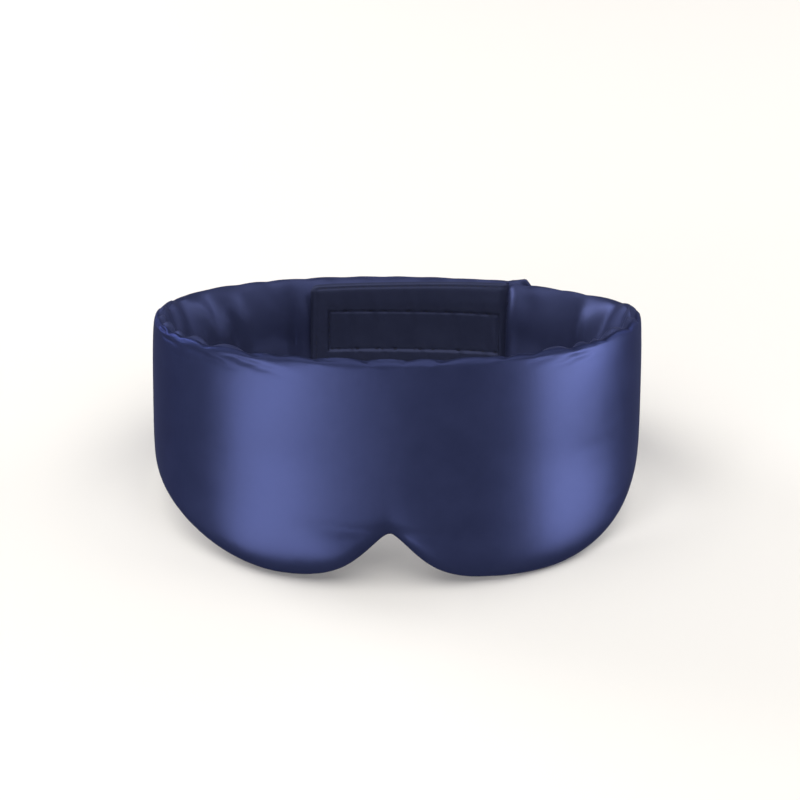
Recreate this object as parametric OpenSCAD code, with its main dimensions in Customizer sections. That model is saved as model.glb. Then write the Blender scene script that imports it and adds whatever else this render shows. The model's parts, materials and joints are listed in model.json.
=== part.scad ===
// Sleep eye mask: a padded wrap-around loop of satin, closed at the back by a
// hook-and-loop tab. It stands on its two cheek lobes and on the lower edge of the
// back band. Millimetres.
//
// The shapes are drawn in the loop's own frame, and standing() then tips the loop
// onto its three resting points. In the loop's frame the upper seam lies near the
// XY plane, the front faces -Y and the loop's axis is Z. Angles go round the loop
// from the front centre (0) to the right temple (90) and the back (180); the left
// temple is at -90. An offset is a distance outwards from the seam line.

/* [Loop] */
// Width across the seam line
loop_width = 209.4; // [196:0.2:222]
// Distance from the loop's centre forwards to the seam line
front_reach = 91; // [86:0.5:96]
// Distance from the loop's centre back to the seam line
back_reach = 88; // [83:0.5:93]
// How far the loop is squared off between the front, the sides and the back
squareness = 0.025; // [0:0.005:0.04]

/* [Front] */
// Height of the front at its two lobes
lobe_height = 94; // [84:0.2:102]
// Angle of each lobe from the front centre
lobe_angle = 22; // [19:0.5:25]
// Rise of the nose notch above the lobes
notch_rise = 20; // [12:0.5:26]
// Half width of the nose notch, as an angle
notch_angle = 8.4; // [7:0.1:10]
// Height of the loop at the temples
temple_height = 63; // [56:0.5:68]
// How much fuller the right lobe is than the left one, as sewn and filled
lobe_skew = 0.2; // [0:0.05:0.25]
// Rise of the upper seam at the temples
rim_rise = 2; // [0:0.5:5]
// Further rise of the upper seam at the right of the front, and drop at its left
rim_lean = 1.2; // [0:0.2:2]

/* [Back bands] */
// Height of the band at the back
band_height = 52; // [48:0.5:58]
// Angle at which the left band ends, lying over the right one
left_band_end = 146.5; // [144:0.5:147]
// Angle at which the right band ends and its tab starts
right_band_end = 150; // [149.5:0.5:152]
// How far the left band's free end springs outwards
end_flare = 3.5; // [0:0.5:5]
// How far the left band's upper corner stands up
corner_rise = 2; // [0:0.5:4]
// Rise of the right band's upper seam where it slips inside the left band
inner_rise = 1.5; // [0:0.25:2.5]

/* [Padding] */
// Bulge of the outer shell beyond the seam line
shell_bulge = 2.8; // [2.4:0.1:3.4]
// Bulge of the lining into the loop, at the front
front_bulge = 8; // [6:0.25:9]
// Bulge of the lining at the temples
temple_bulge = 6; // [5:0.25:7]
// Bulge of the lining at the back, behind the tab
back_bulge = 8.5; // [7:0.25:9]
// Thickness of the satin with its backing
cloth = 0.6; // [0.4:0.05:0.7]
// Thickness of the blackout layer in the front
blackout = 0.35; // [0.2:0.05:0.4]

/* [Tab] */
// Length of the tab from the end of the right band
tab_length = 93.5; // [90:0.5:96]
// Height of the tab
tab_height = 42; // [38:0.5:46]
// Height of the tab's upper corner at its root
tab_root_top = 1; // [0:0.25:2]
// Drop of the upper edge from the root to the free end
tab_drop = 2.4; // [0:0.2:4]
// Thickness of the stiffener inside the tab
interlining = 1.6; // [1:0.1:2]

/* [Hook and loop tape] */
// Width of both tapes
tape_width = 20; // [16:1:25]
// Length of the hook tape
hook_length = 84; // [78:1:86]
// Length of the loop tape
loop_length = 88; // [84:1:90]
// Thickness of each tape
tape = 1.1; // [0.8:0.1:1.2]
// Height of the tapes' centre line, from the upper seam
tape_centre = -23; // [-26:0.5:-20]
// Distance of the stitching from the tape's edge
stitch_inset = 1; // [0.8:0.1:1.5]
// Length of one stitch and the space after it
stitch_pitch = 3; // [2.5:0.25:4]

/* [Hidden] */

// The three padded lengths of the loop
FRONT = 0;
LEFT = 1;
RIGHT = 2;

temple_angle = 90;      // where the front ends and the bands begin
body_gap = 0.2;         // half the space between the front and a band, as an angle
layer_gap = 0.15;       // space between two layers of one pad
wadding_gap = 0.3;      // space round the wadding, whose sections fall between the cloth's
seam_gap = 0.1;         // half the space between shell and lining at the seams
shell_power = 0.65;     // below 1 squares off the half ellipse of a pad's face
lining_power = 0.82;
section_step = 18;      // angle between two points of a face's outline
end_length = 10;        // length over which a band thins down to its end seam
end_bulge = 1.1;        // bulge left at a band's end
wadding_setback = 3;    // wadding stops this far from a band's end
tape_shift = 3.2;       // the tapes lie this far from the tab's middle, towards its root
hem_margin = 1.8;       // the tab's long edges are stitched this far in
tip_margin = 2.4;       // and so is its free end
thread = 0.35;          // height of a stitch above the cloth
thread_width = 0.5;
stitch_length = 0.7 * stitch_pitch;

satin = [0.25, 0.28, 0.45];
satin_inside = [0.22, 0.24, 0.38];
fill_white = [0.9, 0.9, 0.88];
blackout_grey = [0.13, 0.13, 0.15];
tape_navy = [0.12, 0.14, 0.24];
thread_navy = [0.17, 0.19, 0.32];

// Offsets of the flat pieces, measured inwards from the crown of the left band's lining
loop_in = layer_gap;
loop_out = loop_in + tape;
hook_in = loop_out + thread + 2 * layer_gap;
hook_out = hook_in + tape;
tab_outer = hook_out + layer_gap;
core_outer = tab_outer + cloth + layer_gap;
core_inner = core_outer + interlining;
tab_inner = core_inner + layer_gap + cloth;
stack_middle = (tab_outer + tab_inner) / 2;

// Angle taken up by one millimetre along the tab
turn_per_mm = 180 / PI / (0.92 * loop_width / 2);
tab_root = right_band_end + 0.4;
tab_tip = tab_root + tab_length * turn_per_mm;
tape_middle = (tab_root + tab_tip) / 2 - tape_shift * turn_per_mm;

function within(t) = max(0, min(1, t));
function ease(t) = let (u = within(t)) u * u * (3 - 2 * u);
function fold(a) = let (u = abs(a)) u > 180 ? 360 - u : u;
function reach(a) = cos(a) < 0 ? back_reach : front_reach;

// The loop seen from above: its seam line, and the direction outwards from it
function seam_at(a) =
    let (k = 1 + squareness * pow(sin(2 * a), 2))
    [k * loop_width / 2 * sin(a), -k * reach(a) * cos(a)];

function outwards(a) =
    let (v = [reach(a) * sin(a), -loop_width / 2 * cos(a)])
    v / norm(v);

function loop_point(a, offset, z) =
    let (s = seam_at(a) + offset * outwards(a))
    [s[0], s[1], z];

// Distance from a band's end, and how nearly the pad is at its full thickness there
function end_angle(pad) = pad == LEFT ? left_band_end - 360 : right_band_end;
function to_end(pad, a) =
    pad == FRONT ? end_length : abs(end_angle(pad) - a) * loop_width / 2 * PI / 180;
function fullness(pad, a) =
    let (u = within(to_end(pad, a) / end_length)) sqrt(1 - pow(1 - u, 2));

// Bulge of the lining: the loop is thickest at the front and behind the tab
function lining_crown(a) =
    cos(a) > 0 ? temple_bulge + (front_bulge - temple_bulge) * pow(cos(a), 2)
               : temple_bulge + (back_bulge - temple_bulge) * pow(cos(a), 16);
function bulge(pad, a, side) =
    let (full = side > 0 ? shell_bulge : lining_crown(a))
    end_bulge + (full - end_bulge) * fullness(pad, a);

// The seam line of each pad: the right band slips inside the left one, whose end flares
function slipped_inside(a) = ease((a - 108) / 37);
function line_offset(pad, a) =
    pad == RIGHT ? -(lining_crown(right_band_end) + stack_middle) * slipped_inside(a)
    : pad == LEFT ? end_flare * pow(within(1 - to_end(LEFT, a) / 30), 2)
    : 0;

// The upper and the lower seam
function upper_seam(pad, a) =
    (cos(a) > 0 ? rim_rise * pow(sin(a), 4) + rim_lean * sin(a)
                : (rim_rise + rim_lean * sign(sin(a))) * pow(sin(a), 24))
    + (pad == LEFT ? corner_rise * pow(within(1 - to_end(LEFT, a) / 14), 2)
       : pad == RIGHT ? inner_rise * slipped_inside(a)
       : 0);
function lower_seam(a) =
    let (
        u = fold(a),
        past_lobe = within((u - lobe_angle) / (temple_angle - lobe_angle)),
        taper = pow(past_lobe, 1.15 + lobe_skew * sign(a))
    )
    u < temple_angle
        ? notch_rise * exp(-pow(u / notch_angle, 1.5)) - lobe_height
          + (lobe_height - temple_height) * pow(sin(90 * taper), 2)
        : -band_height - (temple_height - band_height) * (1 - ease((u - temple_angle) / 70));

// Half the outline of a pad's section, over its outer face (side 1) or its lining
// (side -1), from the upper seam to the lower one, a given depth below the surface
function face_outline(pad, a, side, depth) =
    let (
        top = upper_seam(pad, a),
        bottom = lower_seam(a),
        crown = bulge(pad, a, side) - depth,
        half = (top - bottom) / 2 - depth,
        power = side > 0 ? shell_power : lining_power
    )
    [
        for (t = [0 : section_step : 180])
            loop_point(
                a,
                line_offset(pad, a) + side * (seam_gap + crown * pow(sin(t), power)),
                (top + bottom) / 2 + half * sign(cos(t)) * pow(abs(cos(t)), power)
            )
    ];
function face_rows(pad, angles, side, depth) =
    [for (a = angles) face_outline(pad, a, side, depth)];

// Angles of the sections of each pad, closer together at the notch and at the free ends
front_end = temple_angle - body_gap;
front_angles = concat(
    [-front_end],
    [for (a = [-85 : 5 : -25]) a],
    [for (a = [-22.5 : 2.5 : 22.5]) a],
    [for (a = [25 : 5 : 85]) a],
    [front_end]
);
function crowded(from, to, count) =
    [for (i = [0 : count]) from + (to - from) * (1 - pow(1 - i / count, 1.3))];
function reversed(list) = [for (i = [len(list) - 1 : -1 : 0]) list[i]];
function left_angles(end) = reversed(crowded(-temple_angle - body_gap, end, 30));
function right_angles(end) = crowded(temple_angle + body_gap, end, 18);
setback = wadding_setback * turn_per_mm;
left_end = end_angle(LEFT);
right_end = end_angle(RIGHT);

// How the loop stands: tipped back until the back band meets the floor with the lobes,
// which touch it on their outer sides, where the loop has turned towards the temples
resting_angle = lobe_angle + 12;
tilt = atan(
    (lower_seam(180) - lower_seam(resting_angle))
    / (seam_at(180)[1] - seam_at(resting_angle)[1])
);
function tipped(p) =
    [p[0], p[1] * cos(tilt) + p[2] * sin(tilt), p[2] * cos(tilt) - p[1] * sin(tilt)];
skin_points = [
    for (side = [-1, 1])
        each concat(
            [for (row = face_rows(FRONT, front_angles, side, 0)) each row],
            [for (row = face_rows(LEFT, left_angles(left_end), side, 0)) each row]
        )
];
tipped_y = [for (p = skin_points) tipped(p)[1]];
tipped_z = [for (p = skin_points) tipped(p)[2]];
stand_shift = [0, -(min(tipped_y) + max(tipped_y)) / 2, -min(tipped_z)];

module standing() {
    translate(stand_shift) rotate([-tilt, 0, 0]) children();
}

// A closed sheet between two grids of points with the same rows and columns. Rows go
// round the loop by rising angle, columns go down, and the first grid is the outer one.
function two_triangles(a, b, c, d) = [[a, b, c], [a, c, d]];

module sheet_between(outer, inner) {
    rows = len(outer);
    cols = len(outer[0]);
    last_row = rows - 1;
    last_col = cols - 1;
    function o(i, j) = i * cols + j;
    function n(i, j) = rows * cols + i * cols + j;
    polyhedron(
        points = concat([for (row = outer) each row], [for (row = inner) each row]),
        faces = [
            for (i = [0 : rows - 2], j = [0 : cols - 2]) each concat(
                two_triangles(o(i, j), o(i + 1, j), o(i + 1, j + 1), o(i, j + 1)),
                two_triangles(n(i + 1, j), n(i, j), n(i, j + 1), n(i + 1, j + 1))
            ),
            for (i = [0 : rows - 2]) each concat(
                two_triangles(n(i, 0), n(i + 1, 0), o(i + 1, 0), o(i, 0)),
                two_triangles(o(i, last_col), o(i + 1, last_col), n(i + 1, last_col), n(i, last_col))
            ),
            for (j = [0 : cols - 2]) each concat(
                two_triangles(n(0, j), o(0, j), o(0, j + 1), n(0, j + 1)),
                two_triangles(o(last_row, j), n(last_row, j), n(last_row, j + 1), o(last_row, j + 1))
            )
        ],
        convexity = 10
    );
}

// One layer of a pad's face, from a depth below the surface and of a thickness
module face_layer(pad, angles, side, depth, thickness) {
    near = face_rows(pad, angles, side, depth);
    far = face_rows(pad, angles, side, depth + thickness);
    standing() sheet_between(side > 0 ? near : far, side > 0 ? far : near);
}

module filling(pad, angles, outer_depth, inner_depth) {
    standing() sheet_between(
        face_rows(pad, angles, 1, outer_depth),
        face_rows(pad, angles, -1, inner_depth)
    );
}

// Front: the padded panel over the eyes
module front_outer_shell() {
    color(satin) face_layer(FRONT, front_angles, 1, 0, cloth);
}

module front_blackout_layer() {
    color(blackout_grey) face_layer(FRONT, front_angles, 1, cloth + layer_gap, blackout);
}

module front_wadding() {
    color(fill_white)
        filling(FRONT, front_angles, cloth + blackout + 2 * layer_gap, cloth + wadding_gap);
}

module front_lining() {
    color(satin_inside) face_layer(FRONT, front_angles, -1, 0, cloth);
}

// Left band: the outer layer of the closure
module left_band_outer_shell() {
    color(satin) face_layer(LEFT, left_angles(left_end), 1, 0, cloth);
}

module left_band_wadding() {
    color(fill_white)
        filling(LEFT, left_angles(left_end + setback), cloth + wadding_gap, cloth + wadding_gap);
}

module left_band_lining() {
    color(satin_inside) face_layer(LEFT, left_angles(left_end), -1, 0, cloth);
}

// Right band: the inner layer, which carries the tab
module right_band_outer_shell() {
    color(satin) face_layer(RIGHT, right_angles(right_end), 1, 0, cloth);
}

module right_band_wadding() {
    color(fill_white)
        filling(RIGHT, right_angles(right_end - setback), cloth + wadding_gap, cloth + wadding_gap);
}

module right_band_lining() {
    color(satin_inside) face_layer(RIGHT, right_angles(right_end), -1, 0, cloth);
}

// Flat pieces lie against the crown of the left band's lining, a depth inwards of it.
// Their upper and lower edges are given by height and by the drop towards the free end.
function flat_offset(a, depth) = -(lining_crown(a) + depth);
function tab_top(a) = tab_root_top - tab_drop * (a - tab_root) / (tab_tip - tab_root);
function flat_rows(angles, depth, tops, height) =
    [
        for (i = [0 : len(angles) - 1])
            [
                for (z = [tops[i], tops[i] - height])
                    loop_point(angles[i], flat_offset(angles[i], depth), z)
            ]
    ];
function evenly(from, to, count) = [for (i = [0 : count]) from + (to - from) * i / count];

module flat_piece(from, to, near, far, tops, height) {
    angles = evenly(from, to, len(tops) - 1);
    standing() sheet_between(
        flat_rows(angles, near, tops, height),
        flat_rows(angles, far, tops, height)
    );
}

tab_parts = 14;
tab_tops = [for (a = evenly(tab_root, tab_tip, tab_parts)) tab_top(a)];
tape_tops = [for (i = [0 : tab_parts]) tape_centre + tape_width / 2];
function half_turn(length) = length / 2 * turn_per_mm;

module tab_layer(near, far) {
    flat_piece(tab_root, tab_tip, near, far, tab_tops, tab_height);
}

module tape_piece(length, near, far) {
    flat_piece(
        tape_middle - half_turn(length), tape_middle + half_turn(length),
        near, far, tape_tops, tape_width
    );
}

// One stitch, lying on the inner side of a surface, along the loop or down it
module stitch(a, offset, z, upright = false) {
    n = outwards(a);
    size = upright ? [thread_width, thread, stitch_length] : [stitch_length, thread, thread_width];
    translate(loop_point(a, offset, z))
        rotate([0, 0, atan2(n[1], n[0]) - 90])
            translate([-size[0] / 2, -thread - layer_gap, -size[2] / 2])
                cube(size);
}

// A row of stitches along the loop, between two angles, and one down it
module stitch_row(from, to, depth, z_from, z_to) {
    count = floor(abs(to - from) / turn_per_mm / stitch_pitch);
    for (i = [0 : count - 1]) {
        t = (i + 0.5) / count;
        a = from + (to - from) * t;
        stitch(a, flat_offset(a, depth), z_from + (z_to - z_from) * t);
    }
}

module stitch_column(a, offset, top, bottom) {
    count = floor((top - bottom) / stitch_pitch);
    for (i = [0 : count - 1])
        stitch(a, offset, top - (top - bottom) * (i + 0.5) / count, upright = true);
}

// The four sides of the stitched box that holds a tape
module stitched_box(length, depth) {
    half = half_turn(length - 2 * stitch_inset);
    top = tape_centre + tape_width / 2 - stitch_inset;
    bottom = tape_centre - tape_width / 2 + stitch_inset;
    standing() {
        for (z = [top, bottom])
            stitch_row(tape_middle - half, tape_middle + half, depth, z, z);
        for (a = [tape_middle - half, tape_middle + half])
            stitch_column(a, flat_offset(a, depth), top - stitch_pitch / 2, bottom + stitch_pitch / 2);
    }
}

module loop_patch() {
    color(tape_navy) tape_piece(loop_length, loop_in, loop_out);
}

module loop_patch_stitching() {
    color(thread_navy) stitched_box(loop_length, loop_out);
}

module left_band_end_stitching() {
    a = left_end + 2 * turn_per_mm;
    color(thread_navy) standing()
        stitch_column(
            a, line_offset(LEFT, a) - bulge(LEFT, a, -1) - seam_gap,
            upper_seam(LEFT, a) - 8, lower_seam(a) + 8
        );
}

module tab_outer_face() {
    color(satin) tab_layer(tab_outer, tab_outer + cloth);
}

module tab_interlining() {
    color(fill_white) tab_layer(core_outer, core_inner);
}

module tab_inner_face() {
    color(satin_inside) tab_layer(tab_inner - cloth, tab_inner);
}

// The seam that closes the end of the right band round the root of the tab
module tab_joining_stitching() {
    a = right_end - 2 * turn_per_mm;
    color(thread_navy) standing()
        stitch_column(
            a, line_offset(RIGHT, a) - bulge(RIGHT, a, -1) - seam_gap,
            upper_seam(RIGHT, a) - 8, lower_seam(a) + 8
        );
}

module hook_patch() {
    color(tape_navy) tape_piece(hook_length, hook_in, hook_out);
}

module hook_patch_stitching() {
    color(thread_navy) stitched_box(hook_length, tab_inner);
}

// Edge stitching round the three free sides of the tab
module tab_edge_stitching() {
    tip = tab_tip - tip_margin * turn_per_mm;
    root = tab_root + hem_margin * turn_per_mm;
    color(thread_navy) standing() {
        for (drop = [hem_margin, tab_height - hem_margin])
            stitch_row(root, tip, tab_inner, tab_top(root) - drop, tab_top(tip) - drop);
        stitch_column(
            tip, flat_offset(tip, tab_inner),
            tab_top(tip) - 2 * hem_margin, tab_top(tip) - tab_height + 2 * hem_margin
        );
    }
}

front_outer_shell();
front_blackout_layer();
front_wadding();
front_lining();
left_band_outer_shell();
left_band_wadding();
left_band_lining();
loop_patch();
loop_patch_stitching();
left_band_end_stitching();
right_band_outer_shell();
right_band_wadding();
right_band_lining();
tab_outer_face();
tab_interlining();
tab_inner_face();
tab_joining_stitching();
hook_patch();
hook_patch_stitching();
tab_edge_stitching();
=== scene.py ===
"""Looks of a padded wrap-around sleep mask in navy satin.

The satin cover is one sewn bag. Its start shape is the loop, with its folds, puckers and swells
drawn in. A cloth simulation stuffs it, and part of that movement is kept. It is then divided
where the bands begin. Lengths are in millimetres in the loop's own frame (upper seam near the
XY plane, front towards -Y, loop axis Z) until to_cad() turns them into metres in the CAD's
frame. The floor and the lights are in the CAD's frame from the start. Angles go round the loop
in degrees, from the front centre (0) through the right temple (90) to the back (180); the left
temple is at -90. Offsets are distances outwards from the seam line.
"""

import json
import math

import bpy
import numpy as np
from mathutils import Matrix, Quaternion, Vector


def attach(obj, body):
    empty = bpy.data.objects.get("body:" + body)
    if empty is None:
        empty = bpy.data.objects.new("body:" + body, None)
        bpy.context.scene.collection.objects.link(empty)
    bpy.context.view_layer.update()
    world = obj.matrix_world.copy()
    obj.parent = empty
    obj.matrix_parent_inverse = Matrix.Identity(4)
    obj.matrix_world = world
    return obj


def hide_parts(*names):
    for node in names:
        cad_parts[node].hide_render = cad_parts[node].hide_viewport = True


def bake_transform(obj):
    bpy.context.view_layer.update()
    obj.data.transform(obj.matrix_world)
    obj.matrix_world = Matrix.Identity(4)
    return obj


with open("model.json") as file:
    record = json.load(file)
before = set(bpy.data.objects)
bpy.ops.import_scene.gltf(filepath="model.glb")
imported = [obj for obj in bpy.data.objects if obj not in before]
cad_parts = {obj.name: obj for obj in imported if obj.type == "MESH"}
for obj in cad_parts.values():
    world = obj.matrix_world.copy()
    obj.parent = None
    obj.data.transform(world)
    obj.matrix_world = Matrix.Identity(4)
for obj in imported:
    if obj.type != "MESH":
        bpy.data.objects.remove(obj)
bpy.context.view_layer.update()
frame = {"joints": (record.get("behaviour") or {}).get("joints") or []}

MM = 0.001

# ------------ the loop's own frame
hinges = {joint["name"]: joint for joint in frame["joints"]}
left_hinge = np.array(hinges["left_band_open"]["pos_m"])
right_hinge = np.array(hinges["right_band_open"]["pos_m"])
loop_centre = (left_hinge + right_hinge) / 2
lean = math.atan2(hinges["left_band_open"]["axis"][1], hinges["left_band_open"]["axis"][2])
LOOP_TO_CAD = np.array([
    [1, 0, 0],
    [0, math.cos(lean), math.sin(lean)],
    [0, -math.sin(lean), math.cos(lean)],
])


def to_cad(points):
    """Points of the loop's frame, in millimetres, in the CAD's frame, in metres."""
    return np.asarray(points, float) @ LOOP_TO_CAD.T * MM + loop_centre


# ------------ sizes, as in the CAD
LOOP_WIDTH = 209.4
FRONT_REACH = 91
BACK_REACH = 88
SQUARENESS = 0.025
LOBE_HEIGHT = 94
LOBE_ANGLE = 22
NOTCH_RISE = 20
NOTCH_ANGLE = 8.4
TEMPLE_HEIGHT = 63
TEMPLE_ANGLE = 90
LOBE_TAPER = 1.15  # above 1 keeps the lobes low further towards the temples
LOBE_SKEW = 0.2  # and makes that stronger on the right
NOTCH_POWER = 1.5
RIM_RISE = 2
RIM_LEAN = 1.2
BAND_HEIGHT = 52
BAND_TAPER = 70  # the band reaches its height this many degrees behind the temple
LEFT_END = 146.5 - 360
RIGHT_END = 150
END_FLARE = 3.5
FLARE_LENGTH = 30
CORNER_RISE = 2
CORNER_LENGTH = 14
SLIP_START = 108  # the right band slips inside the left one from this angle on
SLIP_SPAN = 37  # and is inside it this many degrees later
INNER_RISE = 1.5
SHELL_BULGE = 2.8
FRONT_BULGE = 8
TEMPLE_BULGE = 6
BACK_BULGE = 8.5
END_LENGTH = 10
STEEP_END = 6
TAB_LENGTH = 93.5
TAB_HEIGHT = 42
TAB_ROOT_TOP = 1
TAB_DROP = 2.4
TAPE_WIDTH = 20
HOOK_LENGTH = 84
LOOP_LENGTH = 88
TAPE_CENTRE = -23
STITCH_INSET = 1
STITCH_PITCH = 3
TAPE_SHIFT = 3.2  # from the tab's middle to the tapes' middle, towards the tab's root
ROOT_GAP = 0.4  # degrees from the right band's end to the tab's root
FLAT_RADIUS = 0.92  # mean radius of the flat pieces' bend, as a share of half the width

# Depths inwards from the crown of the left band's lining, as the CAD stacks its flat pieces
LOOP_DEPTH = (0.15, 1.25)
HOOK_DEPTH = (1.9, 3.0)
TAB_DEPTH = (3.15, 6.25)
TAB_MIDDLE = sum(TAB_DEPTH) / 2
DEGREES_PER_MM = 180 / math.pi / (FLAT_RADIUS * LOOP_WIDTH / 2)
TAB_ROOT = RIGHT_END + ROOT_GAP
TAB_TIP = TAB_ROOT + TAB_LENGTH * DEGREES_PER_MM
TAPE_MIDDLE = (TAB_ROOT + TAB_TIP) / 2 - TAPE_SHIFT * DEGREES_PER_MM


def within(t):
    return np.clip(t, 0, 1)


def ease(t):
    u = within(t)
    return u * u * (3 - 2 * u)


def sind(a):
    return np.sin(np.radians(a))


def cosd(a):
    return np.cos(np.radians(a))


def unit(v):
    return v / np.maximum(np.linalg.norm(v, axis=-1, keepdims=True), 1e-12)


def reach(a):
    return np.where(cosd(a) < 0, BACK_REACH, FRONT_REACH)


def seam_at(a):
    """The loop's seam line from above."""
    k = 1 + SQUARENESS * sind(2 * a) ** 2
    return np.stack([k * LOOP_WIDTH / 2 * sind(a), -k * reach(a) * cosd(a)], -1)


def outwards(a):
    return unit(np.stack([reach(a) * sind(a), -LOOP_WIDTH / 2 * cosd(a)], -1))


def groove(distance, width):
    """1 on a line, falling off to 0 either side of it."""
    return np.exp(-((distance / width) ** 2))


def loop_points(a, offset, z):
    a, offset, z = np.broadcast_arrays(a, offset, z)
    xy = seam_at(a) + offset[..., None] * outwards(a)
    return np.concatenate([xy, z[..., None]], -1)


def arc(a):
    """Length of an angle along the loop, roughly."""
    return a * LOOP_WIDTH / 2 * math.pi / 180


def to_left_end(a):
    return arc(np.abs(a - LEFT_END))


def fullness(a):
    """How nearly the pad is at its full thickness: it thins down to a seam at each free end."""
    d = np.minimum(to_left_end(a) / END_LENGTH, arc(np.abs(a - RIGHT_END)) / STEEP_END)
    return np.sqrt(1 - (1 - within(d)) ** 2)


def lining_crown(a):
    front = TEMPLE_BULGE + (FRONT_BULGE - TEMPLE_BULGE) * cosd(a) ** 2
    back = TEMPLE_BULGE + (BACK_BULGE - TEMPLE_BULGE) * cosd(a) ** 16
    return np.where(cosd(a) > 0, front, back)


def slipped_inside(a):
    """How far the right band has slipped inside the left one, from 0 to 1."""
    return ease((a - SLIP_START) / SLIP_SPAN)


def line_offset(a):
    stack = lining_crown(RIGHT_END) + TAB_MIDDLE
    flare = END_FLARE * within(1 - to_left_end(a) / FLARE_LENGTH) ** 2
    return flare - stack * slipped_inside(a)


def upper_seam(a):
    front = RIM_RISE * sind(a) ** 4 + RIM_LEAN * sind(a)
    back = (RIM_RISE + RIM_LEAN * np.sign(sind(a))) * np.abs(sind(a)) ** 24
    corner = CORNER_RISE * within(1 - to_left_end(a) / CORNER_LENGTH) ** 2
    return np.where(cosd(a) > 0, front, back) + corner + INNER_RISE * slipped_inside(a)


def lower_seam(a):
    u = np.abs(a)
    u = np.where(u > 180, 360 - u, u)
    past_lobe = within((u - LOBE_ANGLE) / (TEMPLE_ANGLE - LOBE_ANGLE))
    taper = past_lobe ** (LOBE_TAPER + LOBE_SKEW * np.sign(a))
    notch = NOTCH_RISE * np.exp(-((u / NOTCH_ANGLE) ** NOTCH_POWER))
    front = notch - LOBE_HEIGHT + (LOBE_HEIGHT - TEMPLE_HEIGHT) * sind(90 * taper) ** 2
    past_temple = ease((u - TEMPLE_ANGLE) / BAND_TAPER)
    back = -BAND_HEIGHT - (TEMPLE_HEIGHT - BAND_HEIGHT) * (1 - past_temple)
    return np.where(u < TEMPLE_ANGLE, front, back)


def flat_offset(a, depth):
    """Offset of a flat piece that lies a depth inwards of the left band's lining."""
    return -(lining_crown(a) + depth)


def tab_top(a):
    return TAB_ROOT_TOP - TAB_DROP * (a - TAB_ROOT) / (TAB_TIP - TAB_ROOT)


def wavy(x, spacing, seed, octaves=3):
    """A smooth irregular wave of x, about -1 to 1, whose crests are about a spacing apart."""
    draw = np.random.default_rng(seed)
    total = 0 * x
    for _ in range(octaves):
        length = spacing * draw.uniform(0.75, 1.35)
        total = total + np.sin(2 * math.pi * x / length + draw.uniform(0, 2 * math.pi))
    return total / octaves ** 0.75


def gathers(along, seed, least=8, most=24):
    """A row of rounded puffs of uneven length: 0 at each tuck between them, up to 1 on top."""
    count = 120  # more than go round the loop
    tucks = np.cumsum(np.random.default_rng(seed).uniform(least, most, count)) - most
    after = np.searchsorted(tucks, along)
    length = tucks[after] - tucks[after - 1]
    share = (along - tucks[after - 1]) / length
    return np.sin(math.pi * share) ** 0.8 * np.sqrt(length / most)


# ------------ grids and meshes
def quads(index, flip=False):
    """Faces of a grid of vertex numbers."""
    a, b, c, d = index[:-1, :-1], index[1:, :-1], index[1:, 1:], index[:-1, 1:]
    corners = (a, b, c, d) if flip else (a, d, c, b)
    return np.stack(corners, -1).reshape(-1, 4)


def border_of(index):
    """Vertex numbers round the edge of a grid, in order."""
    return np.concatenate([index[:-1, 0], index[-1, :-1], index[:0:-1, -1], index[0, :0:-1]])


def grid_normals(grid, flip):
    across = np.gradient(grid, axis=0)
    down = np.gradient(grid, axis=1)
    return unit(np.cross(down, across) * (-1 if flip else 1))


def smoother(grid, axis):
    """The grid with a new point between each two along an axis, on a smooth curve."""
    g = np.moveaxis(grid, axis, 0)
    ends = np.concatenate([2 * g[:1] - g[1:2], g, 2 * g[-1:] - g[-2:-1]])
    middles = (9 * (ends[1:-2] + ends[2:-1]) - ends[:-3] - ends[3:]) / 16
    out = np.empty((2 * len(g) - 1, *g.shape[1:]))
    out[::2], out[1::2] = g, middles
    return np.moveaxis(out, 0, axis)


def placed(name, data):
    """A new object in the scene."""
    new = bpy.data.objects.new(name, data)
    bpy.context.scene.collection.objects.link(new)
    return new


def new_piece(name, points, faces, material, normals=None, layout=None):
    """A mesh piece from points of the loop's frame. The layout places its cloth's weave."""
    mesh = bpy.data.meshes.new(name)
    mesh.from_pydata(to_cad(points).tolist(), [], faces)
    mesh.shade_smooth()
    mesh.materials.append(material)
    if layout is not None:
        weave = mesh.attributes.new("weave", "FLOAT_VECTOR", "POINT")
        weave.data.foreach_set("vector", np.asarray(layout * MM, np.float32).ravel())
    if normals is not None:
        mesh.normals_split_custom_set_from_vertices((normals @ LOOP_TO_CAD.T).tolist())
    return placed(name, mesh)


def closed_sheet(name, above, below, material, flip, layout, normals=None):
    """A closed sheet between two grids. Its first grid faces outwards, or inwards if flipped."""
    count = above.shape[0] * above.shape[1]
    top = np.arange(count).reshape(above.shape[:2])
    rim = border_of(top)
    step = np.roll(rim, -1)
    edge = np.stack([rim, rim + count, step + count, step], -1)
    if flip:
        edge = edge[:, ::-1]
    faces = np.concatenate([quads(top, flip), quads(top + count, not flip), edge[:, ::-1]])
    points = np.concatenate([above.reshape(-1, 3), below.reshape(-1, 3)])
    both = None
    if normals is not None:
        both = np.concatenate([normals.reshape(-1, 3), -normals.reshape(-1, 3)])
    doubled = np.concatenate([layout.reshape(-1, 3)] * 2)
    return new_piece(name, points, faces.tolist(), material, both, doubled)


# ------------ materials
WAVE_PERIOD = 0.31  # length of one band of a wave texture whose scale is 1


def principled(name):
    material = bpy.data.materials.new(name)
    material.use_nodes = True
    return material, material.node_tree, material.node_tree.nodes["Principled BSDF"]


def setting(node, **inputs):
    """The node, with its inputs set by name."""
    for key, value in inputs.items():
        node.inputs[key.replace("_", " ")].default_value = value
    return node


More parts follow.
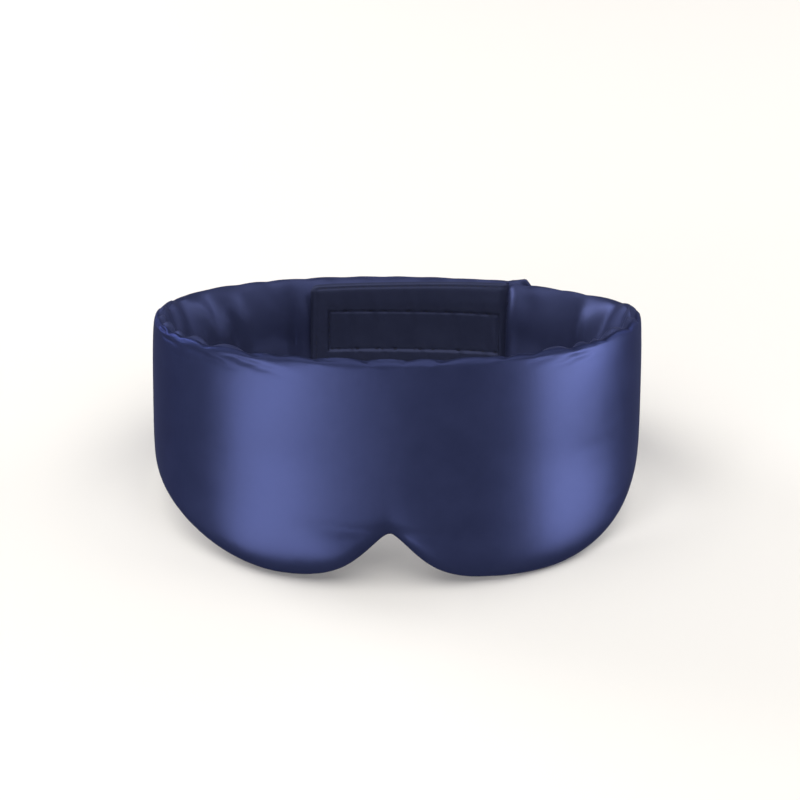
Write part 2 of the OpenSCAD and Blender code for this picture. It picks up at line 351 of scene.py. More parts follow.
def weave_place(tree, scale=(1, 1, 1)):
    """Coordinates along and down the cloth, in metres, scaled."""
    place = tree.nodes.new("ShaderNodeAttribute")
    place.attribute_name = "weave"
    mapping = setting(tree.nodes.new("ShaderNodeMapping"), Scale=scale)
    tree.links.new(place.outputs["Vector"], mapping.inputs["Vector"])
    return mapping.outputs["Vector"]


def noise(tree, vector, **inputs):
    texture = setting(tree.nodes.new("ShaderNodeTexNoise"), **inputs)
    tree.links.new(vector, texture.inputs["Vector"])
    return texture.outputs["Fac"]


def threads(tree, direction, **inputs):
    """Parallel threads across a direction of the cloth."""
    texture = setting(tree.nodes.new("ShaderNodeTexWave"), Detail=1.0, **inputs)
    texture.bands_direction = direction
    tree.links.new(weave_place(tree), texture.inputs["Vector"])
    return texture.outputs["Fac"]


def mottled(tree, shader, vector, scale, colours, roughness, spread):
    """Base colour that drifts between two colours, and roughness that drifts with it."""
    cloud = noise(tree, vector, Scale=scale, Detail=4.0, Roughness=0.6)
    ramp = tree.nodes.new("ShaderNodeValToRGB")
    for element, position, colour in zip(ramp.color_ramp.elements, (0.3, 0.7), colours):
        element.position = position
        element.color = (*colour, 1)
    low, high = roughness - spread, roughness + spread
    ranged = setting(tree.nodes.new("ShaderNodeMapRange"), To_Min=low, To_Max=high)
    tree.links.new(cloud, ramp.inputs["Fac"])
    tree.links.new(ramp.outputs["Color"], shader.inputs["Base Color"])
    tree.links.new(cloud, ranged.inputs["Value"])
    tree.links.new(ranged.outputs["Result"], shader.inputs["Roughness"])


def raised(tree, shader, heights):
    """Bumps on top of each other: a list of (height socket, distance in metres, strength)."""
    under = None
    for height, distance, strength in heights:
        bump = setting(tree.nodes.new("ShaderNodeBump"), Distance=distance, Strength=strength)
        tree.links.new(height, bump.inputs["Height"])
        if under is not None:
            tree.links.new(under, bump.inputs["Normal"])
        under = bump.outputs["Normal"]
    tree.links.new(under, shader.inputs["Normal"])


def satin(name, dark, light, metallic, roughness):
    """Satin: its long warp floats run down the cloth and make a broad gloss of its own colour."""
    material, tree, shader = principled(name)
    mottled(tree, shader, weave_place(tree), 60.0, (dark, light), roughness, 0.05)
    setting(
        shader, Metallic=metallic, Specular_IOR_Level=0.1, Specular_Tint=(0.20, 0.22, 0.34, 1),
        Sheen_Weight=0.03, Sheen_Roughness=0.5, Sheen_Tint=(0.35, 0.42, 0.95, 1),
    )
    slubs = noise(tree, weave_place(tree, (420, 60, 1)), Scale=1.0, Detail=3.0, Roughness=0.6)
    floats = noise(tree, weave_place(tree, (5200, 520, 1)), Scale=1.0, Detail=2.0, Roughness=0.5)
    picks = threads(tree, "Y", Scale=950.0, Distortion=0.4)
    raised(tree, shader, [
        (slubs, 0.00012, 0.25),
        (floats, 0.00004, 0.35),
        (picks, 0.00002, 0.2),
    ])
    return material


def woven(name, dark, light, pitch, roughness):
    """A plain woven cloth, with crossing threads a pitch apart, in metres."""
    material, tree, shader = principled(name)
    mottled(tree, shader, weave_place(tree), 300.0, (dark, light), roughness, 0.06)
    raised(tree, shader, [
        (threads(tree, direction, Scale=WAVE_PERIOD / pitch, Distortion=0.6), 0.00008, 0.5)
        for direction in "XY"
    ])
    return material


def fibrous(name, dark, light, scale, roughness):
    """Loose fibre, with a soft sheen."""
    material, tree, shader = principled(name)
    coordinates = tree.nodes.new("ShaderNodeTexCoord").outputs["Object"]
    mottled(tree, shader, coordinates, scale, (dark, light), roughness, 0.05)
    setting(shader, Sheen_Weight=0.4)
    fibres = noise(tree, coordinates, Scale=scale * 6, Detail=4.0, Distortion=2.0)
    raised(tree, shader, [(fibres, 0.0004, 0.6)])
    return material


def nylon(name, dark, light, roughness):
    """Dyed nylon: dull plastic bristles or yarn."""
    material, tree, shader = principled(name)
    coordinates = tree.nodes.new("ShaderNodeTexCoord").outputs["Object"]
    mottled(tree, shader, coordinates, 900.0, (dark, light), roughness, 0.08)
    setting(shader, Sheen_Weight=0.2)
    strands = noise(tree, coordinates, Scale=5000.0, Detail=2.0)
    raised(tree, shader, [(strands, 0.00005, 0.4)])
    return material


NAVY = satin("navy_satin", (0.027, 0.034, 0.092), (0.032, 0.040, 0.105), 0.72, 0.42)
# The lining is the same satin as the shell, given a lighter base colour: painted light that makes up
# for the shade inside the loop.
NAVY_LINING_LIGHTENED = satin("navy_satin_lining_lightened", (0.042, 0.051, 0.125), (0.049, 0.059, 0.142), 0.6, 0.44)
# The tab is the same satin too, given a lighter base colour than the shell's: painted light that
# makes up for the shade it stands in inside the loop.
NAVY_TAB_LIGHTENED = satin("navy_satin_tab_lightened", (0.040, 0.047, 0.098), (0.047, 0.055, 0.112), 0.55, 0.46)
THREAD = woven("navy_thread", (0.008, 0.010, 0.034), (0.014, 0.018, 0.055), 0.0003, 0.6)
WADDING = fibrous("white_wadding", (0.72, 0.72, 0.69), (0.86, 0.86, 0.83), 180.0, 0.9)
BLACKOUT = woven("black_lining_cloth", (0.008, 0.008, 0.010), (0.016, 0.016, 0.019), 0.0005, 0.85)
STIFFENER = fibrous("pressed_felt", (0.52, 0.52, 0.50), (0.66, 0.66, 0.64), 400.0, 0.9)
TAPE_GROUND = woven("navy_tape_ground", (0.012, 0.015, 0.040), (0.020, 0.024, 0.060), 0.0004, 0.7)
HOOKS = nylon("navy_nylon_hooks", (0.014, 0.017, 0.045), (0.026, 0.031, 0.075), 0.4)
LOOPS = nylon("navy_nylon_loops", (0.016, 0.020, 0.052), (0.030, 0.036, 0.088), 0.65)

# ------------ how pieces move
BEND_HALF = 38  # half the span round each temple where a band would bend; settle() works out its ends and does not use them


def settle(piece, body, slot, node, bends=True):
    """Parents the piece to its body's empty and hides the CAD node that it stands for. The slot, the
    piece's finish, is not used.

    A band's piece, unless it is stiff or far from the temple, is only baked into place and not
    parented; nothing makes it bend.
    """
    if bends and body in ("left_band", "right_band"):
        begin, finish = to_cad([[0, -BEND_HALF, 0], [0, BEND_HALF, 0]])
        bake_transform(piece)
    else:
        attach(piece, body)
    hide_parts(node)


# ------------ the satin cover
COLUMN = 2.2  # length of a mesh cell along the loop
ROWS = 40  # mesh cells from the upper to the lower seam
SIM_UNIT = 0.01  # the cloth is simulated at ten times its size
GATHER = 1.04  # the cloth is this much longer than the seam line that holds it
LINING_SLACK = 1.04  # and the lining this much fuller across
SHELL_POWER = 0.6  # below 1 squares off the half ellipse of a pad's face
LINING_POWER = 0.82
SEAM_CROWDING = 0.07  # how much the mesh rows crowd towards the seams
SEAM_WAVE = 0.9  # height of the puckers in the upper seam line, at the front
WAVE_REACH = 6  # the puckers fade out over this distance below the seam
PUFF = 4.2  # the lining rises this far above the upper seam beside it, there
PUFF_LENGTH = 2.6  # and is highest at this distance from it
PUFF_SEED = 14
FOLD_DEPTH = 1.7  # of the waves drawn in the lining
TIP_VALLEY = 3.0  # depths of the three deep valleys in the lining: by the tab's tip,
ROOT_VALLEY = 1.3  # by its root
HOLLOW = 2.6  # and in front of that
ROOT_VALLEY_ANGLE = 141
HOLLOW_ANGLE = 124
NOTCH_CREASE = 0.6  # depth of the crease over the nose notch
NOTCH_LOBES = (1.9, 1.2)  # heights of the swells left and right of the notch
NOTCH_ROLL = 1.6  # the shell's edge rolls in this far round the notch
NOTCH_REGION = 60  # the shell is shaped round the notch up to this angle
BELLY = 3.4  # the front's shell hangs out this far near its lower edge
BELLY_TOP = 40  # that starts this far below the upper seam
BELLY_SPAN = 58  # and is full this much lower
BAND_WAVE = 0.35  # height of the waves in the bands' shell
CORNER_RADIUS = 4.0  # of the left band's free corners
SEAM_HOLD = 0.7
SHELL_HOLD = 0.03
PRESSURE = 4.0
SIM_FRAMES = 30
MOST_MOVED = 5.0  # no point moves further than this in the simulation
BEHIND_TAB = 142  # the lining is held behind the tab from this angle on
BEHIND_ROOM = 2.2  # where it may stand this far past its crown,
SEWN_IN = 2.3  # less this where the loop tape is sewn to it
SOFTNESS = 0.35  # that limit sets in over about this distance
SHELL_KEPT = 0.15  # the shell keeps this share of that movement, and all of it
SHELL_FREE = 6  # at the upper seam, to about this far below
LINING_KEPT = (0.2, 0.7)  # the lining keeps the first share of it at the lower seam, and both
LINING_HELD = 12  # shares added up from this far above


def even_angles():
    """Angles of the mesh columns, evenly spaced along the seam line, and their places on it."""
    fine = np.linspace(LEFT_END, RIGHT_END, 6001)
    line = loop_points(fine, line_offset(fine), 0 * fine)
    travelled = np.concatenate([[0], np.cumsum(np.linalg.norm(np.diff(line, axis=0), axis=1))])
    count = int(round(travelled[-1] / COLUMN))
    along = np.linspace(0, travelled[-1], count + 1)
    return np.interp(along, travelled, fine), along


def section(crown, half, rows, power, slack=1.0):
    """A pad's face from seam to seam: bulges and heights, closer together near the seams."""
    t = np.linspace(0, 180, 241)
    x = crown * slack * sind(t) ** power
    z = half * np.sign(cosd(t)) * np.abs(cosd(t)) ** power
    length = np.concatenate([[0], np.cumsum(np.hypot(np.diff(x), np.diff(z)))])
    share = np.linspace(0, 1, rows + 1)
    share = share - SEAM_CROWDING * np.sin(2 * math.pi * share)
    return np.interp(share * length[-1], length, x), np.interp(share * length[-1], length, z)


def gathered(a):
    """How strongly the upper seam is gathered: most at the cheeks, hardly at the back."""
    cheeks = 0.45 + 0.55 * ease((np.abs(a) - 30) / 20)
    return cheeks * (1 - 0.85 * ease((np.abs(a) - 85) / 35))


def seam_puckers(a, along):
    """How far the gathered upper seam wanders up and down along the loop."""
    return SEAM_WAVE * gathered(a) * (gathers(along, PUFF_SEED) - 0.6)


def puffs(a, along):
    """How far the lining stands above the upper seam: a row of puffs between tucks."""
    return PUFF * gathered(a) * gathers(along, PUFF_SEED)


def rounded_corner(a):
    """How much the left band's free end is cut down at its corners."""
    d = within(to_left_end(a) / CORNER_RADIUS)
    return CORNER_RADIUS * (1 - np.sqrt(1 - (1 - d) ** 2))


def cover_grids(angles, along):
    """Start and rest shapes of the cover's two panels, as (columns, rows, 3) grids."""
    start, rest = np.zeros((2, 2, len(angles), ROWS + 1, 3))
    wander, rise = seam_puckers(angles, along), puffs(angles, along)
    for i, (a, u) in enumerate(zip(angles, along)):
        cut = float(rounded_corner(a))
        top, bottom = float(upper_seam(a)) - cut, float(lower_seam(a)) + cut
        middle, half = (top + bottom) / 2, (top - bottom) / 2
        full = float(fullness(a))
        for k, (side, crown, power, slack) in enumerate((
            (1, SHELL_BULGE, SHELL_POWER, 1.0),
            (-1, float(lining_crown(a)), LINING_POWER, LINING_SLACK),
        )):
            x, z = section(crown * full, half, ROWS, power)
            below = (z[0] - z) + x * 0.7
            z = z + wander[i] * np.exp(-below / WAVE_REACH)
            if side < 0:
                z = z + full * rise[i] * below / PUFF_LENGTH * np.exp(1 - below / PUFF_LENGTH)
            start[k, i] = loop_points(a, float(line_offset(a)) + side * x, middle + z)
            rest[k, i] = np.stack([np.full_like(x, u * GATHER), side * x * slack, middle + z], -1)
    return start, rest


def lining_folds(angles, along):
    """Depth of the folds drawn in the lining's start shape: slanted waves and three valleys."""
    u = along[:, None]
    v = np.linspace(0, 1, ROWS + 1)[None, :]
    turn = np.broadcast_to(angles[:, None], (len(angles), ROWS + 1))
    slant = (20 + 36 * ease((150 - np.abs(turn)) / 50)) * -np.sign(turn) + 6 * wavy(u, 140, 5)
    close = wavy(u + slant * (v - 0.5), 18, 8)
    broad = wavy(u + slant * (v - 0.5), 32, 9)
    right = ease((turn - 60) / 30)
    wave = (1 - right) * close + right * (0.6 * close + 0.7 * broad)
    tip = groove((turn + 360 - TAB_TIP - 2.5 - 3 * (0.5 - v)) / DEGREES_PER_MM, 3.2)
    root = groove((turn - ROOT_VALLEY_ANGLE - 9 * (0.3 - v)) / DEGREES_PER_MM, 2.6)
    hollow = groove((turn - HOLLOW_ANGLE - 3 * (0.5 - v)) / DEGREES_PER_MM, 4.5)
    calm = (1 - tip) * (1 - root) * (1 - hollow)
    valleys = TIP_VALLEY * tip + ROOT_VALLEY * root + HOLLOW * hollow
    return (FOLD_DEPTH * wave * calm - valleys) * np.sin(math.pi * v) ** 0.5


def notch_folds(a, z):
    """How far the shell is pulled in or puffs out round the nose notch."""
    apex = float(lower_seam(0.0))
    u = arc(a)
    tilt = np.where(u < 0, 0.04, -0.10) * np.abs(u)
    line = z - (apex + 1.5 + tilt)
    reach_out = groove(np.abs(u) - 8, 22)
    crease = -NOTCH_CREASE * reach_out * groove(line, 2.8)
    lobe = np.where(u < 0, *NOTCH_LOBES) * ease(-line / 18) * groove(np.abs(u) - 17, 16)
    from_edge = np.maximum(z - lower_seam(a), 0)
    rolled = -NOTCH_ROLL * np.exp(-((from_edge / 3.2) ** 1.4)) * groove(u, 22)
    return crease + lobe + rolled


def belly(a, z):
    """How far the front's shell sags outwards towards its lower edge."""
    return BELLY * ease((-z - BELLY_TOP) / BELLY_SPAN) * (1 - ease((np.abs(a) - 60) / 30))


def band_waves(a, along):
    """Shallow waves in the shell of the bands."""
    v = np.linspace(0, 1, ROWS + 1)[None, :]
    u = along[:, None] + 18 * (v - 0.5)
    waves = wavy(u, 34, 61) + 0.5 * wavy(u, 15, 62)
    return BAND_WAVE * waves * ease((np.abs(a) - 85) / 25)


def draw_shapes(start, angles, along):
    """Draws the lining's folds and the shell's notch, belly and waves in their start shapes."""
    turn = angles[:, None]
    z = start[0, ..., 2]
    across = np.linspace(0, 1, ROWS + 1)
    notch = notch_folds(turn, z) * (np.abs(turn) < NOTCH_REGION) * np.sin(math.pi * across) ** 0.4
    swells = belly(turn, z) + band_waves(turn, along)
    raise_by = notch + swells * (1 - np.linspace(-1, 1, ROWS + 1) ** 8)
    start[0, ..., :2] += raise_by[..., None] * outwards(angles)[:, None]
    start[1, ..., :2] -= lining_folds(angles, along)[..., None] * outwards(angles)[:, None]


def partly(start, settled, share):
    return start + share[..., None] * (settled - start)


def calmed(start, shell, lining):
    """The settled panels, moved back towards their starts: the padding holds them."""
    below_top = start[0, :, :1, 2] - start[0, ..., 2]
    above_bottom = start[1, ..., 2] - start[1, :, -1:, 2]
    free = SHELL_KEPT + (1 - SHELL_KEPT) * groove(below_top, SHELL_FREE)
    least, more = LINING_KEPT
    held = least + more * ease(above_bottom / LINING_HELD)
    return partly(start[0], shell, free), partly(start[1], lining, held)


def softened(panel, passes):
    """The panel with its sharp creases rounded off, away from its seams."""
    out = panel.copy()
    for _ in range(passes):
        out[1:-1] = (out[:-2] + 2 * out[1:-1] + out[2:]) / 4
        out[:, 1:-1] = (out[:, :-2] + 2 * out[:, 1:-1] + out[:, 2:]) / 4
    v = np.linspace(0, 1, panel.shape[1])
    share = ease(v * (1 - v) * 12)[None, :, None]
    return panel + share * (out - panel)


def panel_indices(columns):
    """Vertex numbers of both panels, which share the vertices of the seams round them."""
    outer = np.arange(columns * (ROWS + 1)).reshape(columns, ROWS + 1)
    inner = outer.copy()
    inside = (columns - 2) * (ROWS - 1)
    inner[1:-1, 1:-1] = outer.size + np.arange(inside).reshape(columns - 2, ROWS - 1)
    return outer, inner


def pattern_object(at, flat, faces, hold):
    """The bag at its start shape, with its flat rest shape and the vertices it is held by."""
    mesh = bpy.data.meshes.new("cover_pattern")
    mesh.from_pydata((at * SIM_UNIT).tolist(), [], faces.tolist())
    pattern = placed("cover_pattern", mesh)
    pattern.shape_key_add(name="Basis")
    key = pattern.shape_key_add(name="flat")
    key.data.foreach_set("co", (flat * SIM_UNIT).ravel())
    pins = pattern.vertex_groups.new(name="pins")
    for weight in np.unique(hold[hold > 0]):
        pins.add(np.flatnonzero(hold == weight).tolist(), float(weight), "REPLACE")
    return pattern, key


def dress(pattern, key):
    """Gives the bag its cloth settings."""
    cloth = pattern.modifiers.new("Cloth", "CLOTH")
    settings = cloth.settings
    settings.quality = 6
    settings.mass = 0.3
    settings.tension_stiffness = 30
    settings.compression_stiffness = 20
    settings.shear_stiffness = 6
    settings.bending_stiffness = 0.12
    settings.air_damping = 2
    settings.use_pressure = True
    settings.uniform_pressure_force = PRESSURE
    settings.vertex_group_mass = "pins"
    settings.pin_stiffness = 1.0
    settings.rest_shape_key = key
    settings.effector_weights.gravity = 0
    cloth.collision_settings.use_collision = False
    cloth.collision_settings.use_self_collision = False
    cloth.point_cache.frame_start = 1
    cloth.point_cache.frame_end = SIM_FRAMES


def settled_points(pattern, count):
    """Steps the simulation, reads the settled points and removes the pattern."""
    scene = bpy.context.scene
    for f in range(1, SIM_FRAMES + 1):
        scene.frame_set(f)
    evaluated = pattern.evaluated_get(bpy.context.evaluated_depsgraph_get())
    co = np.zeros(count * 3)
    evaluated.data.vertices.foreach_get("co", co)
    mesh = pattern.data
    bpy.data.objects.remove(pattern)
    bpy.data.meshes.remove(mesh)
    scene.frame_set(1)
    return co.reshape(-1, 3) / SIM_UNIT


def sewn_cover(start, rest):
    """The panels after simulation: the bag is bent into the loop and stuffed, and settles."""
    columns = start.shape[1]
    outer, inner = panel_indices(columns)
    count = int(inner.max()) + 1
    at, flat = np.zeros((count, 3)), np.zeros((count, 3))
    for index, k in ((inner, 1), (outer, 0)):
        at[index.ravel()] = start[k].reshape(-1, 3)
        flat[index.ravel()] = rest[k].reshape(-1, 3)
    hold = np.zeros(count)
    hold[outer.ravel()] = SHELL_HOLD
    hold[border_of(outer)] = SEAM_HOLD
    faces = np.concatenate([quads(outer), quads(inner, flip=True)])
    pattern, key = pattern_object(at, flat, faces, hold)
    dress(pattern, key)
    moved = settled_points(pattern, count) - at
    length = np.linalg.norm(moved, axis=1, keepdims=True)
    settled = at + moved * np.minimum(1, MOST_MOVED / np.maximum(length, 1e-9))
    return settled[outer], settled[inner]


def depth_in(angles, panel):
    """How far a panel's points lie inwards of the seam line."""
    return -((panel[..., :2] - seam_at(angles)[:, None]) * outwards(angles)[:, None]).sum(-1)


def under_the_tab(angles, lining):
    """The lining stays behind the tab, and lies flat where the loop tape is sewn to it."""
    a = np.where(angles < -90, angles + 360, angles)[:, None]
    behind = ease((a - BEHIND_TAB) / 6) * ease((TAB_TIP + 3 - a) / 3)
    half = LOOP_LENGTH / 2 * DEGREES_PER_MM
    beside = np.abs(a - TAPE_MIDDLE) - half
    above = np.abs(lining[..., 2] - TAPE_CENTRE) - TAPE_WIDTH / 2
    sewn = ease(1 - np.maximum(beside / DEGREES_PER_MM, above) / 4)
    depth = depth_in(angles, lining)
    most = lining_crown(a) + BEHIND_ROOM - SEWN_IN * sewn
    capped = most - SOFTNESS * np.logaddexp(0, (most - depth) / SOFTNESS)
    shift = (depth - capped) * behind * (angles < -90)[:, None]
    out = lining.copy()
    out[..., :2] += shift[..., None] * outwards(angles)[:, None]
    return out


angles, along = even_angles()
start, rest = cover_grids(angles, along)
draw_shapes(start, angles, along)
shell, lining = calmed(start, *sewn_cover(start, rest))
lining = softened(lining, 4)
lining = under_the_tab(angles, lining)
lining[[0, -1]] = shell[[0, -1]]
lining[:, [0, -1]] = shell[:, [0, -1]]
shell, lining = (smoother(smoother(panel, 0), 1) for panel in (shell, lining))
angles, along = (smoother(line[:, None], 0)[:, 0] for line in (angles, along))

CLOTH = 0.3  # thickness of the satin
CUT_Y = -46  # the cover divides here, in front of where the bands begin to bend
in_front = np.flatnonzero((seam_at(angles)[:, 1] < CUT_Y) & (np.abs(angles) < TEMPLE_ANGLE))
SPANS = {
    "front": slice(in_front[0], in_front[-1] + 1),
    "left_band": slice(0, in_front[0] + 1),
    "right_band": slice(in_front[-1], len(angles)),
}


def lengths(grid, axis):
    """Distances along a grid's lines, from their first points."""
    steps = np.diff(grid, axis=axis, prepend=np.take(grid, [0], axis))
    return np.linalg.norm(steps, axis=-1).cumsum(axis)


def layout_of(panel):
    """Places along and down a panel of the cover, for its weave."""
    down = lengths(panel, 1)
    return np.stack([np.broadcast_to(along[:, None], down.shape), down, 0 * down], -1)


for panel, side, slot, material in (
    (shell, "outer_shell", "satin", NAVY),
    (lining, "lining", "satin_lining", NAVY_LINING_LIGHTENED),
):
    inside = side == "lining"
    normals = grid_normals(panel, inside)
    layout = layout_of(panel)
    for body, span in SPANS.items():
        piece = closed_sheet(
            f"{body}_{side}_satin", panel[span], panel[span] - CLOTH * normals[span],
            material, inside, layout[span], normals[span],
        )
        settle(piece, body, slot, f"{body}_{side}")

# ------------ inside the cover
FILL_ROWS = 24
FILL_END = 2  # degrees from the free ends to the wadding
WADDING_SHARES = (0.45, 0.45)  # shares of the pad's bulge, outwards and inwards, that it fills
WADDING_EDGE = 3.0  # and how far short of the seams it ends
BLACKOUT_SHARES = (0.62, 0.5)  # the blackout cloth lies between these shares of the bulge
BLACKOUT_EDGE = 2.6


def inner_grid(picked, side, share, edge):
    """A surface inside the pad: a share of its bulge, and this far short of the seams."""
    grid = np.zeros((len(picked), FILL_ROWS + 1, 3))
    for i, a in enumerate(picked):
        top, bottom = float(upper_seam(a)), float(lower_seam(a))
        crown = SHELL_BULGE if side > 0 else float(lining_crown(a))
        half = (top - bottom) / 2 - edge
        x, z = section(crown * share * float(fullness(a)), half, FILL_ROWS, LINING_POWER)
        grid[i] = loop_points(a, float(line_offset(a)) + side * x, (top + bottom) / 2 + z)
    return grid


def layer(name, picked, sides, shares, edge, material):
    """A closed layer between two surfaces inside the pad."""
    near, far = (inner_grid(picked, side, share, edge) for side, share in zip(sides, shares))
    layout = np.stack([lengths(near, 0), lengths(near, 1), 0 * near[..., 0]], -1)
    return closed_sheet(name, near, far, material, False, layout)


for body, span in SPANS.items():
    picked = angles[span][:: 2 if body == "front" else 1]
    picked = np.union1d(picked, angles[span][[0, -1]])
    picked = picked[(picked > LEFT_END + FILL_END) & (picked < RIGHT_END - FILL_END)]
    wadding = layer(
        f"{body}_wadding_fill", picked, (1, -1), WADDING_SHARES, WADDING_EDGE, WADDING
    )
    settle(wadding, body, "wadding", f"{body}_wadding")
    covered = picked[np.abs(picked) < TEMPLE_ANGLE]
    blackout = layer(
        f"blackout_cloth_{body}", covered, (1, 1), BLACKOUT_SHARES, BLACKOUT_EDGE, BLACKOUT
    )
    settle(blackout, body, "blackout_cloth", "front_blackout_layer")

# ------------ the tab
TAB_EDGE = 1.6  # radius of the turned edge
TAB_CORNER = 3.5
TUCKED = 3.0  # the tab's root goes this far into the end of the right band
ROOT_DIP = 2.4  # and its face starts to dip this far before it
BOX_TOP = TAPE_CENTRE + TAPE_WIDTH / 2 - STITCH_INSET
BOX_BOTTOM = TAPE_CENTRE - TAPE_WIDTH / 2 + STITCH_INSET
HEM = 2.4  # the tab's free end is stitched this far in
SIDE_HEM = 1.8  # and its long edges this far
BOX_SINK = 0.3  # the tab's inner face lies this much lower in its stitched box,
BOX_ROLLS = (0.8, 0.4)  # and swells this much round it, above and below the tape's centre
BOX_GROOVE = 0.65  # depths of the grooves along the box's stitches,
HEM_GROOVE = 0.2  # along the hems' stitches
OUTER_GROOVE = 0.3  # and round the outer face
TAB_CREASES = 0.42  # height of the creases that cross the box's stitches
ROOT_HALF = 0.25  # half the tab's thickness where it is tucked in
FELT_INSET = 3  # the stiffener ends this far short of the tab's long edges
FELT_ENDS = (1, 3)  # and this many degrees short of its root and its tip
FELT_DEPTHS = (TAB_MIDDLE - 1.0, TAB_MIDDLE + 0.1)


def tape_span(length):
    """First and last angle of a tape, or of anything else centred on the tapes."""
    half = length / 2 * DEGREES_PER_MM
    return TAPE_MIDDLE - half, TAPE_MIDDLE + half


def box_angles(length):
    return tape_span(length - 2 * STITCH_INSET)


def tab_plan(u, v):
    """The tab's flat plan with its two free corners rounded off, and distances to its edge."""
    du = u - (TAB_LENGTH - TAB_CORNER)
    dv = np.abs(v - TAB_HEIGHT / 2) - (TAB_HEIGHT / 2 - TAB_CORNER)
    corner = (du > 0) & (dv > 0)
    far = np.maximum(du, dv)
    scale = np.where(corner, far / np.maximum(np.hypot(du, dv), 1e-9), 1)
    u = np.where(corner, TAB_LENGTH - TAB_CORNER + du * scale, u)
    side = np.sign(v - TAB_HEIGHT / 2)
    v = np.where(corner, TAB_HEIGHT / 2 + side * (TAB_HEIGHT / 2 - TAB_CORNER + dv * scale), v)
    edge = np.where(corner, TAB_CORNER - far, np.minimum(
        TAB_LENGTH - u, TAB_HEIGHT / 2 - np.abs(v - TAB_HEIGHT / 2)
    ))
    return u, v, np.maximum(edge, 0)


def tab_relief(u, v, edge, z):
    """Height of the tab's inner face over its stiffener, sewn down along its stitching."""
    a = TAB_ROOT + u * DEGREES_PER_MM
    left, right = box_angles(HOOK_LENGTH)
    out_u = np.maximum(left - a, a - right) / DEGREES_PER_MM
    out_v = np.maximum(BOX_BOTTOM - z, z - BOX_TOP)
    outside = np.maximum(out_u, out_v)
    hem = np.minimum(
        np.abs(TAB_LENGTH - u - HEM), np.abs(TAB_HEIGHT / 2 - np.abs(v - TAB_HEIGHT / 2) - SIDE_HEM)
    )
    above = 0.5 + 0.5 * np.tanh(outside / 0.8)
    creases = wavy(u + 0.25 * v, 7.5, 41) * np.exp(-np.abs(outside) / 5)
    share = within(outside / (outside + np.maximum(edge - SIDE_HEM, 0) + 0.01))
    swell = np.where(z > TAPE_CENTRE, *BOX_ROLLS)
    roll = swell * above * np.sqrt(np.sin(math.pi * share))
    return (
        roll - BOX_SINK * (1 - above) - BOX_GROOVE * groove(outside, 0.7)
        - HEM_GROOVE * groove(hem, 0.55) + TAB_CREASES * creases + 0.06 * wavy(v, 9, 43) * above
    )


def tab_face(inner):
    """One satin face of the tab, as a grid from root to tip and from top to bottom."""
    u = np.arange(-TUCKED, TAB_LENGTH + 0.01, 0.5)
    v = np.linspace(0, TAB_HEIGHT, 85)
    u[-1] = TAB_LENGTH
    u, v = np.meshgrid(u, v, indexing="ij")
    u, v, edge = tab_plan(u, v)
    a = TAB_ROOT + u * DEGREES_PER_MM
    z = tab_top(a) - v
    half = (TAB_DEPTH[1] - TAB_DEPTH[0]) / 2
    rounded = np.sqrt(1 - (1 - within(edge / TAB_EDGE)) ** 2)
    outer_relief = -OUTER_GROOVE * groove(edge - SIDE_HEM, 0.5)
    relief = tab_relief(u, v, edge, z) if inner else outer_relief
    side = 1 if inner else -1
    depth = TAB_MIDDLE + side * rounded * (half + relief)
    root = ease((u + TUCKED) / (TUCKED + ROOT_DIP))
    offset = -(lining_crown(a) + depth * root + (TAB_MIDDLE + side * ROOT_HALF) * (1 - root))
    return loop_points(a, offset, z), np.stack([u, v, 0 * u], -1)


for side, inner in (("inner_face", True), ("outer_face", False)):
    grid, layout = tab_face(inner)
    normals = grid_normals(grid, inner)
    piece = closed_sheet(
        f"tab_{side}_satin", grid, grid - CLOTH * normals, NAVY_TAB_LIGHTENED, inner, layout, normals
    )
    settle(piece, "closure_tab", "satin_lining" if inner else "satin", f"tab_{side}")


def slab(name, first, last, tops, height, depths, material, step=1.5):
    """A flat strip that follows the loop between two angles and two depths."""
    a = np.linspace(first, last, int((last - first) / DEGREES_PER_MM / step) + 2)
    v = np.linspace(0, height, int(height / step) + 2)
    a, v = np.meshgrid(a, v, indexing="ij")
    z = tops(a) - v
    near, far = (loop_points(a, flat_offset(a, depth), z) for depth in depths)
    layout = np.stack([(a - first) / DEGREES_PER_MM, v, 0 * v], -1)
    return closed_sheet(name, near, far, material, False, layout)


stiffener = slab(
    "tab_felt_stiffener", TAB_ROOT + FELT_ENDS[0], TAB_TIP - FELT_ENDS[1],
    lambda a: tab_top(a) - FELT_INSET, TAB_HEIGHT - 2 * FELT_INSET, FELT_DEPTHS, STIFFENER,
)
settle(stiffener, "closure_tab", "interlining", "tab_interlining")

# ------------ hook-and-loop tape
GROUND = 0.45  # thickness of the tapes' woven ground
BRISTLE_PITCH = 1.25
LOOP_PITCH = 1.15
TAPE_MARGIN = 2  # bristles stay this far from the tapes' edges
JITTER = 0.2  # of their places, as a share of the pitch


def tape_top(a):
    return 0 * a + TAPE_CENTRE + TAPE_WIDTH / 2


def ring(count):
    turn = np.linspace(0, 2 * math.pi, count, endpoint=False)
    return np.cos(turn), np.sin(turn)


def tube(path, radii, sides):
    """Points and walls of a tube along a path, open at its ends."""
    tangent = unit(np.gradient(path, axis=0))
    guide = np.array([0.31, 0.21, 0.93])  # no path runs along it
    first = unit(np.cross(tangent, guide))
    second = np.cross(tangent, first)
    c, s = ring(sides)
    around = c[None, :, None] * first[:, None] + s[None, :, None] * second[:, None]
    points = path[:, None] + radii[:, None, None] * around
    index = np.arange(len(path) * sides).reshape(-1, sides)
    wrapped = np.concatenate([index, index[:, :1]], 1)
    return points.reshape(-1, 3), quads(wrapped)


def capped_radii(n, radius):
    """Radii of a tube whose ends are rounded off."""
    t = np.linspace(-1, 1, n)
    return radius * np.sqrt(np.maximum(1 - np.abs(t) ** 6, 0.02))


